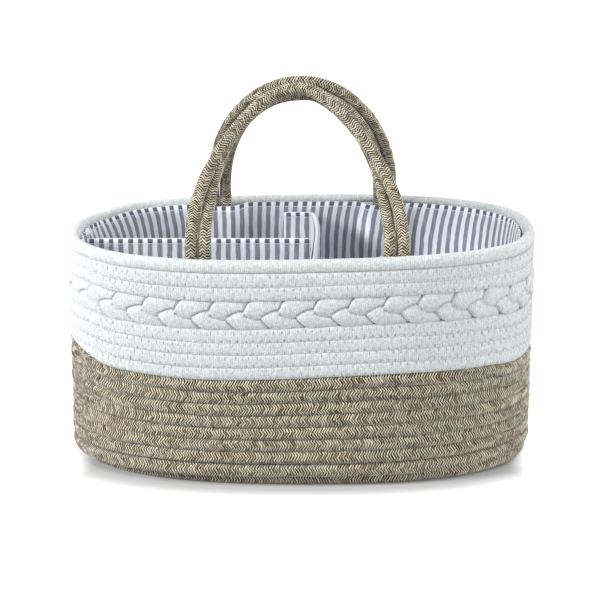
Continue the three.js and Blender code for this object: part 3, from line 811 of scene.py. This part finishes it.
def stitching():
    """Zigzag threads over the grooves between the white rows, from hole to hole."""
    shares = np.array([0.0, 0.14, 0.5, 0.86, 1.0])  # of a stitch's way
    lift = np.array([-0.9, -0.18, -1.2, -0.18, -0.9]) * MM
    hole_angle = STITCH_TURN * FULL_TURN
    reach = section_reach(hole_angle, ROPE / 2, ROW_PITCH / 2, ROW_POWER)
    inset = WALL_INSET - reach * math.cos(hole_angle) - lift
    beat = np.arange(2 * STITCHES_PER_TURN + 1)
    high = beat % 2
    turned = (np.arange(THREAD_SIDES) + 0.5) / THREAD_SIDES * FULL_TURN
    rings = []
    rows = [(BEIGE_ROWS + k, wall_height) for k in range(LOWER_WHITE_ROWS - 1)]
    for first, height_at in (*rows, (0, upper_middle)):
        turn = turn_at(first + beat / (2 * STITCHES_PER_TURN) + high)
        angles = SEAM_ANGLE + (turn - high) * FULL_TURN
        heights = height_at(turn) + (1 - 2 * high) * reach * math.sin(hole_angle)
        for k in beat[:-1]:
            angle = angles[k] + (angles[k + 1] - angles[k]) * shares
            height = heights[k] + (heights[k + 1] - heights[k]) * shares
            line, outward = outward_line(angle, inset, height)
            out = unit(outward)
            side = unit(np.cross(np.gradient(line, axis=0), out))
            rings.append(section_points(line[:, None], out[:, None], side[:, None], THREAD_RADIUS, turned))
    count = len(shares) * THREAD_SIDES
    one = grid_faces(len(shares), THREAD_SIDES)[0].tolist()
    one += [range(THREAD_SIDES)[::-1], range(count - THREAD_SIDES, count)]
    faces = [[start + k for k in face] for start in range(0, count * len(rings), count) for face in one]
    thread = make_mesh("zigzag_stitching", np.concatenate(rings).reshape(-1, 3), faces)
    dress(thread, thread_white, "basket", "white_rope")


# Handles, along the same arch as the solids
HANDLE_ROPE = 10 * MM
ROPE_PITCH = HANDLE_ROPE + 0.3 * MM  # from rope to rope of a pair
HANDLES = {
    "front_handle": {
        "side": -1, "span": 154.5 * MM, "reach": 132.7 * MM, "leg": -3.2 * MM, "top": -1 * MM,
        "powers": (1.88, 1.67), "twist": math.radians(105), "twist_end": math.radians(49),
    },
    "rear_handle": {
        "side": 1, "span": 142 * MM, "reach": 134.1 * MM, "leg": 0.9 * MM, "top": 1.3 * MM,
        "powers": (2.12, 1.98), "twist": math.radians(62), "twist_end": math.radians(62),
    },
}
HANDLES_APART = 0.6 * MM
JOINTS = {joint["name"]: joint for joint in frame["joints"]}


def handle_path(name, pair_side):
    """Middle line of one rope of a handle, from the end of one sewn-in leg to that of the other. The
    pair side is 1 for the outer rope and -1 for the inner one."""
    handle = HANDLES[name]
    _, leg_line, pivot_height = JOINTS[name + "_hinge"]["pos_m"]
    leg_line = abs(leg_line)
    half_top = (HANDLES_APART + HANDLE_ROPE) / 2
    lean = math.asin((leg_line - half_top) / handle["reach"])
    stands_out = ROPE_PITCH / 2 * math.sin(handle["twist"] - lean)
    lean = math.asin((leg_line - half_top - stands_out) / handle["reach"])
    angle = np.linspace(0, math.pi, 241)
    power = np.where(angle < math.pi / 2, *handle["powers"])
    across = -np.sign(np.cos(angle)) * np.abs(np.cos(angle)) ** (2 / power)
    rise = np.clip(np.sin(angle), 0, None) ** (2 / power)
    reach = handle["reach"] * rise
    side = handle["side"]
    middle = vectors(
        handle["leg"] + (handle["top"] - handle["leg"]) * rise + across * handle["span"] / 2,
        side * (leg_line - reach * math.sin(lean)),
        pivot_height + reach * math.cos(lean),
    )
    in_plane = unit(vectors(across, -side * math.sin(lean) * rise, math.cos(lean) * rise))
    facing = np.array([0, side * math.cos(lean), math.sin(lean)])
    from_leg = np.minimum(angle, math.pi - angle)
    turned = (handle["twist"] * smoothstep(from_leg, 0, handle["twist_end"]))[:, None]
    apart = in_plane * np.cos(turned) + facing * np.sin(turned)
    arch = middle + apart * (pair_side * ROPE_PITCH / 2)
    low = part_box(name + "_left_outer_end")[0].z + 1 * MM
    down = np.linspace(low, pivot_height - 4 * MM, 12)
    legs = [vectors(end[0], end[1], down) for end in (arch[0], arch[-1])]
    line = resampled(np.concatenate([legs[0], arch[4:-4], legs[1][::-1]]), 2 * MM)
    for _ in range(14):
        line[1:-1] = (line[:-2] + 2 * line[1:-1] + line[2:]) / 4
    return line


def handle_ropes():
    half = HANDLE_ROPE / 2 + 0.1 * MM
    for name, handle in HANDLES.items():
        for label, pair_side in (("outer", 1), ("inner", -1)):
            line = handle_path(name, pair_side)
            outward = np.tile([0.0, 1.0 * handle["side"], 0.35], (len(line), 1))
            seed = 2.0 * pair_side + 5 * handle["side"]
            rope = braided_rope(f"{name}_{label}_braid", line, outward, half, half, 2.0, seed, 0.9)
            ends = [f"{name}_{side}_{label}_end" for side in ("left", "right")]
            dress(rope, beige, None, "beige_rope", f"{name}_{label}_rope", *ends)
            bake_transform(rope)


# Lining


def leg_places():
    """x of the middle and y of the inner side of each pair of leg ropes."""
    for name, handle in HANDLES.items():
        for end in ("left", "right"):
            low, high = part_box(f"{name}_{end}_outer_end")
            low_in, high_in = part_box(f"{name}_{end}_inner_end")
            x = (min(low.x, low_in.x) + max(high.x, high_in.x)) / 2
            yield x, high.y if handle["side"] < 0 else low.y


def lining():
    around, down = 660, 56
    share = np.arange(around) / around
    turn = turn_at(share)
    angle = SEAM_ANGLE + turn * FULL_TURN
    # The crest jumps at the seam, so it is eased over the last part of the turn
    crest = rim_crest(turn) + (rim_crest(0.0) - rim_crest(0.9999)) * smoothstep(turn, 0.94, 1.0)
    top = crest - HEM_DROP
    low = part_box("lining_wall")[0].z
    part = np.linspace(0, 1, down) ** 0.8
    height = top[None, :] - (top[None, :] - low) * part[:, None]
    depth = top[None, :] - height
    length = share * WALL_LENGTH
    from_end = angle % FULL_TURN - math.pi
    gathered = bell(from_end / 0.35)
    pucker = 0.5 * MM * np.sin(FULL_TURN * length / PUCKER_LENGTH + 2 * wander(length, 3, 0.2))
    pucker = pucker + 2.6 * MM * gathered * np.sin(FULL_TURN * length / GATHER_LENGTH)
    pucker = pucker * np.exp(-depth / (18 * MM)) + 0.7 * MM * wander(length / 0.11 + depth / 0.2, 1.0)
    inset = np.full_like(depth, LINING_INSET + CLOTH + 0.6 * MM) + 0.5 * pucker
    hem = smoothstep(depth, 5.6 * MM, 4.4 * MM)
    inset = inset + 0.7 * MM * hem - 0.8 * MM * bell(depth / (1.2 * MM))
    x, y = plan_point(angle[None, :], inset)
    for leg_x, leg_y in leg_places():
        cover = 1 - smoothstep(np.abs(x - leg_x), *LEG_COVER)
        cover = np.where(np.sign(y) == np.sign(leg_y), cover, 0) * smoothstep(height, *LEG_COVER_HEIGHT)
        goal = np.sign(leg_y) * (abs(leg_y) - LEG_COVER_GAP)
        y = y + (np.where(np.abs(y) > abs(goal), goal, y) - y) * cover
    inner = vectors(x, y, height)
    # The back of the cloth lies a cloth's thickness further out
    along = np.roll(inner, -1, axis=1) - np.roll(inner, 1, axis=1)
    outward = unit(vectors(along[..., 1], -along[..., 0], 0))
    points = np.concatenate([inner, (inner + outward * CLOTH)[::-1]])
    faces, face_rows, face_columns = grid_faces(len(points), around, wrap_rows=True)
    v = np.concatenate([depth, depth[::-1], depth[:1]])[face_rows, face_columns % around]
    # Stripes lean where the cloth gathers towards the left end
    lean = -0.75 * (1 - smoothstep(np.abs(from_end), 0.1, 1.6)) * np.tanh(from_end / 0.15)
    # and at the right end and right back, with the angle counted from -0.6 to 5.7 radians
    right = (angle % FULL_TURN + 0.6) % FULL_TURN - 0.6
    lean = lean - 0.3 * smoothstep(right, -0.5, 0.1) * (1 - smoothstep(right, 1.3, 1.75))
    lean = lean - 0.6 * bell((right + 0.05) / 0.3) + 0.08 * wander(turn * 3, 5.0)
    stripes = round(WALL_LENGTH / STRIPE_PERIOD) * STRIPE_PERIOD
    bend = np.minimum(v, BEND_DEPTH)
    bend = bend - bend * bend / (2 * BEND_DEPTH)
    u = face_columns * (stripes / around) + lean[face_columns % around] * bend
    v = np.where(face_rows >= down, v + HEM_HEIGHT, v)
    cloth = make_mesh("lining_cloth", points.reshape(-1, 3), faces, np.stack([u, v], axis=2))
    dress(cloth, striped, "basket", "striped_fabric", "lining_wall")
    flat_height = float(top.mean() - low)


def lining_floor():
    rings = 14
    around = 200
    low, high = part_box("lining_floor")
    edge = LINING_INSET + CLOTH
    rim_x, rim_y = plan_point(np.arange(around) / around * FULL_TURN, edge)
    share = np.linspace(1, 0.02, rings)[:, None]
    x, y = share * rim_x, share * rim_y
    uneven = 0.25 * MM * wander(x / 0.09 + y / 0.05, 4.0)
    top = vectors(x, y, high.z - 0.3 * MM + uneven)
    under = vectors(x, y, low.z + 0.1 * MM)
    points = np.concatenate([under[::-1], top]).reshape(-1, 3)
    faces = grid_faces(2 * rings, around)[0][:, ::-1].tolist()
    faces += [range(around), range(len(points) - around, len(points))[::-1]]
    uv = [(points[i][0], 0.05 + points[i][1] + HALF_WIDTH) for face in faces for i in face]
    cloth = make_mesh("floor_cloth", points, faces, uv)
    dress(cloth, striped, "basket", "striped_fabric", "lining_floor")


# Dividers


def panel(name, start, end, lean_at, half_thickness, low, top, seed, columns=150, rows=60, corner=0.0,
          folds=0.0):
    """A padded panel between two plan points, with a rounded top edge and a soft, uneven face. The top
    drops by corner at its two ends, and folds draws its face to the left in front."""
    direction = unit(np.array([end[0] - start[0], end[1] - start[1]]))
    normal = np.array([direction[1], -direction[0]])
    length = math.dist(start, end)
    along = np.linspace(0, length, columns)
    from_end = np.minimum(along, length - along)
    drop = corner * np.exp(-from_end / (6 * MM))
    slim = (1 - from_end / (2 * MM)).clip(0)
    fullness = 0.25 + 0.75 * np.sqrt(np.clip(1 - slim**2, 0, 1))
    depths = [(top - low) * (1 - k / (rows - 1)) ** 1.15 for k in range(rows)]
    points = []
    for side, order in ((1, depths), (-1, depths[::-1])):
        for depth in order:
            near_top = max(0.0, 1 - depth / half_thickness)
            half = half_thickness * math.sqrt(max(0.0, 1 - near_top**2))
            height = top - depth
            soft = 0.45 * MM * wander(along / 0.12 + height / 0.1, seed) * min(1, depth / (10 * MM))
            if folds:
                wave = along / (16 * MM) + height / (27 * MM) + 0.3 * wander(along / 0.06, 1.0)
                in_front = smoothstep(along, 82 * MM, 70 * MM) * min(1, depth / (6 * MM))
                soft = soft - folds * (0.5 + 0.5 * np.sin(FULL_TURN * wave)) * in_front
            shift = side * half * fullness + soft
            x = start[0] + direction[0] * along + normal[0] * shift + lean_at(along, height)
            y = start[1] + direction[1] * along + normal[1] * shift
            points.append(vectors(x, y, height - drop * (1 - depth / (top - low)) ** 6))
    depths = np.array([*depths, *depths[::-1], depths[0]])
    faces, face_rows, face_columns = grid_faces(2 * rows, columns, wrap_rows=True, wrap_columns=False)
    uv = np.stack([along[face_columns], depths[face_rows]], axis=2).reshape(-1, 2)
    count = 2 * rows * columns
    ends = [range(0, count, columns), range(count - 1, 0, -columns)]
    end_uv = [(0, depth) for depth in depths[:-1]] + [(length, depth) for depth in depths[-2::-1]]
    return make_mesh(name, np.concatenate(points), [*faces.tolist(), *ends], np.concatenate([uv, end_uv]))


def dividers():
    upright = lambda along, height: 0
    low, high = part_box("long_divider_sleeve")
    middle = (low.y + high.y) / 2
    sleeve = panel("long_divider_cloth", (low.x, middle), (high.x, middle), upright,
                   (high.y - low.y) / 2 - 0.2 * MM, low.z, high.z + DIVIDER_RAISE, 1.0)
    dress(sleeve, striped_folded, "long_divider", "striped_fabric", "long_divider_sleeve")
    first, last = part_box("cross_divider_sleeve")
    bottom, top = first.z, last.z + DIVIDER_RAISE
    bow_at, bow_by = np.array(DIVIDER_BOW).T * MM
    place = np.linspace(first.y, last.y, 400)
    bow = np.interp(place, bow_at, bow_by)
    for _ in range(300):
        bow[1:-1] = (bow[:-2] + 2 * bow[1:-1] + bow[2:]) / 4

    def lean(along, height):
        """The top bows to the right in the middle and to the left at both ends."""
        share = max(0.0, (height - bottom) / (top - bottom))
        return np.interp(first.y + along, place, bow) * share**1.6

    pieces = {}
    for name, node, material, slot, slimmer, raised, details in (
        ("cross_divider_cloth", "cross_divider_sleeve", striped_bound, "striped_fabric", 0.1 * MM,
         DIVIDER_RAISE, {}),
        ("cross_divider_stiffener", "cross_divider_board", board, "stiff_board", 0, -2 * MM, {"rows": 20}),
        ("cross_divider_loops", "cross_divider_loop_facing", loop_cloth, "loop_fabric", 0, -1 * MM,
         {"folds": LOOP_FOLDS}),
    ):
        low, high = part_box(node)
        half = (high.x - low.x - CROSS_LEAN) / 2
        x = low.x + half
        pieces[name] = panel(name, (x, low.y), (x, high.y), lean, half - slimmer, low.z, high.z + raised,
                             2.0, corner=DIVIDER_CORNER, **details)
        dress(pieces[name], material, "cross_divider", slot, node)
    high.y - low.y
    high.z - low.z
    face = x + half
    for label in ("back", "front"):
        low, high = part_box(f"cross_divider_{label}_tab")
        y = (low.y + high.y) / 2
        tab = panel(f"{label}_tab_cloth", (low.x, y), (face, y), upright, (high.y - low.y) / 2 - 0.1 * MM,
                    low.z, high.z + TAB_RAISE, 3.0, columns=40, corner=TAB_CORNER)
        dress(tab, striped_folded, "cross_divider", "striped_fabric", f"cross_divider_{label}_tab")
    low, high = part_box("long_divider_hook_strip")
    half = (high.x - low.x) / 2
    strip = panel("long_divider_hooks", (low.x + half, low.y), (low.x + half, high.y), upright, half,
                  low.z, high.z, 4.0, 40)
    dress(strip, loop_cloth, "long_divider", "loop_fabric", "long_divider_hook_strip")
    materials = frame["nodes"]["long_divider_board"].data.materials
    materials.clear()
    materials.append(board)


# Stage, light and camera


def studio():
    """A white floor that keeps the basket's shadow, with painted shade where its glow fades towards the
    basket's foot, a white backdrop, and lamps at a plain level.
    """
    n = Nodes("floor", roughness=1.0)
    seen = n.node("LightPath").outputs["Is Camera Ray"]
    place = n.node("SeparateXYZ", {0: n.node("TexCoord").outputs["Object"]})
    # The glow seen by the camera fades out towards the basket's foot, and the camera sees a darker floor
    # than other rays do: painted shade round the foot, over its real shadow
    aside = n.ramp(n.absolute(place.outputs[0]), HALF_LENGTH - 24 * MM, HALF_LENGTH + 5 * MM)
    shares = (n.power(n.absolute(n.divide(way, half)), OVAL_POWER)
              for way, half in zip(place.outputs, (HALF_LENGTH, HALF_WIDTH)))
    beyond = n.power(n.add(*shares), 1 / OVAL_POWER)
    camera_glow_faded_to_painted_shade = n.maximum(aside, n.ramp(beyond, 1.02, 1.35))
    color = n.mix(seen, (0.55, 0.55, 0.56), (0.45, 0.45, 0.45))
    n.put(n.shader, {"Specular IOR Level": 0.0, "Base Color": color, "Emission Color": (1, 1, 1, 1),
                     "Emission Strength": n.multiply(seen, camera_glow_faded_to_painted_shade)})
    floor = make_mesh("floor", [(-9, -9, 0), (9, -9, 0), (9, 9, 0), (-9, 9, 0)], [(0, 1, 2, 3)])
    floor.data.materials.append(n.material)
    floor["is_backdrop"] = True

    world = bpy.data.worlds.new("studio")
    bpy.context.scene.world = world
    world.use_nodes = True
    tree = world.node_tree
    light = tree.nodes["Background"]
    light.inputs["Color"].default_value = (0.95, 0.97, 1.0, 1)
    light.inputs["Strength"].default_value = 0.63
    backdrop, chosen, path = (
        tree.nodes.new("ShaderNode" + kind) for kind in ("Background", "MixShader", "LightPath")
    )
    backdrop.inputs["Color"].default_value = (1, 1, 1, 1)
    sockets = (path.outputs["Is Camera Ray"], light.outputs[0], backdrop.outputs[0], chosen.outputs[0])
    for socket, end in zip(sockets, (*chosen.inputs, tree.nodes["World Output"].inputs["Surface"])):
        tree.links.new(socket, end)

    for name, place, size, power in (
        ("key", (-2.1, -0.7, 1.25), 0.6, 72),
        ("fill", (2.2, -1.1, 0.25), 1.0, 38),
        ("top", (0.5, -0.6, 2.2), 1.0, 18),
        ("back", (1.3, 1.8, 1.6), 1.2, 26),
    ):
        lamp = bpy.data.lights.new(name, "AREA")
        lamp.size, lamp.energy = size, power
        aim = Vector((0, 0, 0.1)) - Vector(place)
        add_object(name, lamp, place, aim.to_track_quat("-Z", "Y").to_euler())


def camera():
    """The photograph's viewing angle, fitted to the basket's outline in it."""
    image_side = 600  # pixels
    focal_pixels = 2015.67
    data = bpy.data.cameras.new("camera")
    data.sensor_width = 36
    data.lens = focal_pixels * data.sensor_width / image_side
    turned = (math.pi / 2 - 0.2835, 0, 0)
    bpy.context.scene.camera = add_object("camera", data, (-0.95 * MM, -1.6, 0.587), turned)


bpy.context.scene.view_settings.view_transform = "Standard"
camera()
studio()
beige_coils()
white_coils()
plait()
stitching()
handle_ropes()
lining()
lining_floor()
dividers()

low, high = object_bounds()
{"cad": [list(cad_low), list(cad_high)], "visual": [list(low), list(high)]}
